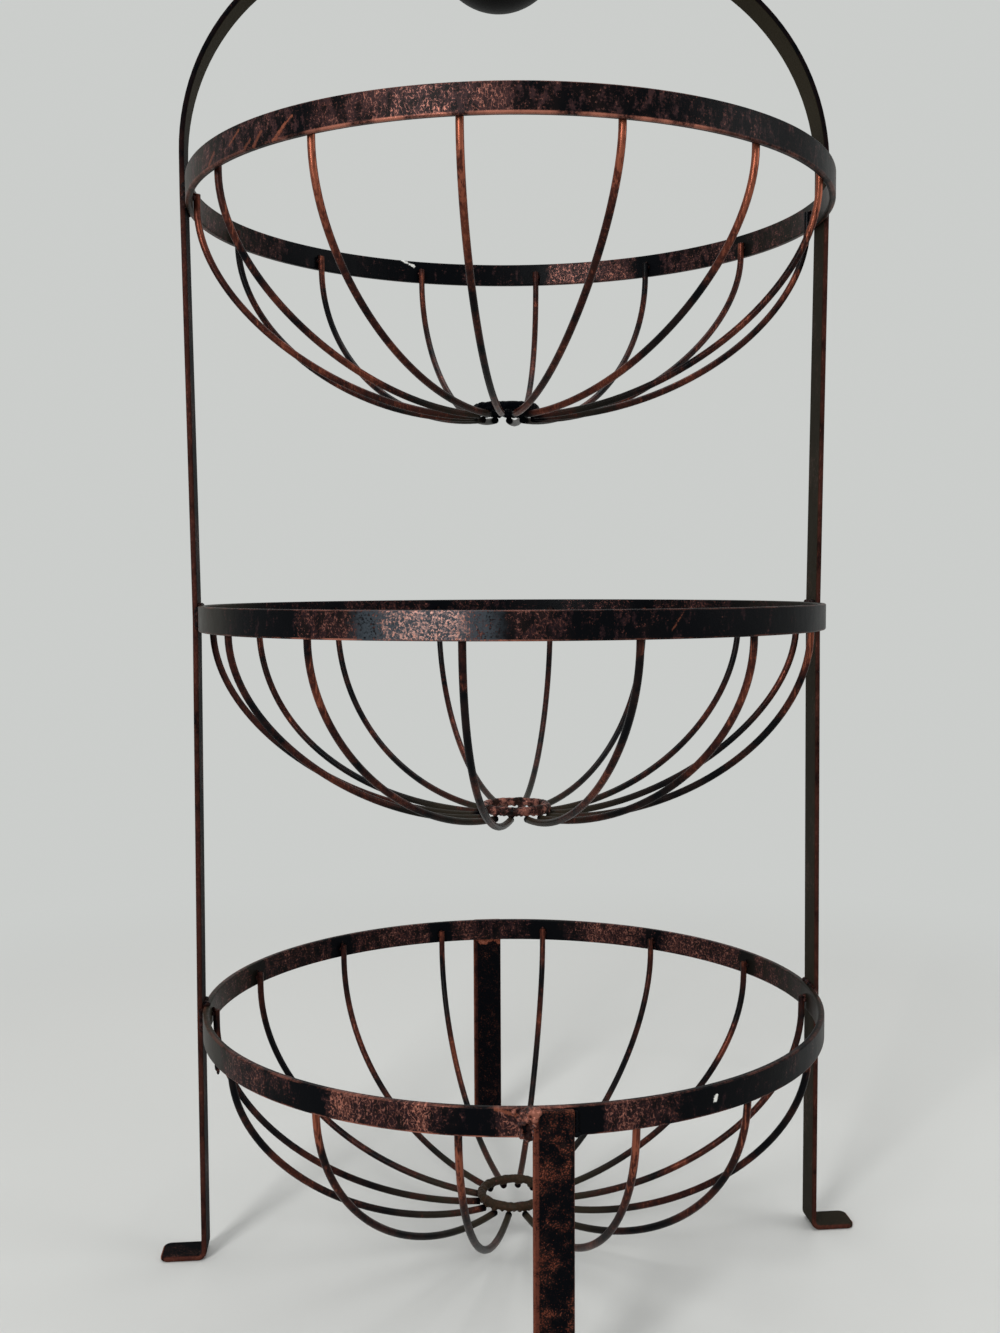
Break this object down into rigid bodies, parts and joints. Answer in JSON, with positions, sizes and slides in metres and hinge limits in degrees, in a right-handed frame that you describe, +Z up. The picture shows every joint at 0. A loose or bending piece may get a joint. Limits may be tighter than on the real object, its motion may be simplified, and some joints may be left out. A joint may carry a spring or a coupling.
{
  "type": "tiered wire basket",
  "caption": "Free-standing tiered wire basket: round rib bowls with flat bands, welded into a bent flat-bar frame with arch handle, feet and ball grip.",
  "frame": {"origin": "floor point under the middle of the bowls, at the height of the soles", "axes": "+Z up along the stack of bowls, -Y towards the front leg, X along the plane of the arch"},
  "size_m": [0.348, 0.348, 0.6653],
  "materials": {
    "copper_bar": "black base coat brushed with antique copper, satin",
    "copper_wire": "black base coat brushed with antique copper, satin",
    "black_grip": "matt black paint"
  },
  "bodies": {
    "root": {"arch_frame": "copper_bar", "front_leg": "copper_bar", "rear_leg": "copper_bar", "bottom_ring": "copper_bar", "bottom_hub_ring": "copper_wire", "bottom_rib_01": "copper_wire", "bottom_rib_02": "copper_wire", "bottom_rib_03": "copper_wire", "bottom_rib_04": "copper_wire", "bottom_rib_05": "copper_wire", "bottom_rib_06": "copper_wire", "bottom_rib_07": "copper_wire", "bottom_rib_08": "copper_wire", "bottom_rib_09": "copper_wire", "bottom_rib_10": "copper_wire", "bottom_rib_11": "copper_wire", "bottom_rib_12": "copper_wire", "bottom_rib_13": "copper_wire", "bottom_rib_14": "copper_wire", "middle_ring": "copper_bar", "middle_hub_ring": "copper_wire", "middle_rib_01": "copper_wire", "middle_rib_02": "copper_wire", "middle_rib_03": "copper_wire", "middle_rib_04": "copper_wire", "middle_rib_05": "copper_wire", "middle_rib_06": "copper_wire", "middle_rib_07": "copper_wire", "middle_rib_08": "copper_wire", "middle_rib_09": "copper_wire", "middle_rib_10": "copper_wire", "middle_rib_11": "copper_wire", "middle_rib_12": "copper_wire", "middle_rib_13": "copper_wire", "middle_rib_14": "copper_wire", "top_ring": "copper_bar", "top_hub_ring": "copper_wire", "top_rib_01": "copper_wire", "top_rib_02": "copper_wire", "top_rib_03": "copper_wire", "top_rib_04": "copper_wire", "top_rib_05": "copper_wire", "top_rib_06": "copper_wire", "top_rib_07": "copper_wire", "top_rib_08": "copper_wire", "top_rib_09": "copper_wire", "top_rib_10": "copper_wire", "top_rib_11": "copper_wire", "top_rib_12": "copper_wire", "top_rib_13": "copper_wire", "top_rib_14": "copper_wire", "grip_ball": "black_grip"}
  },
  "joints": []
}
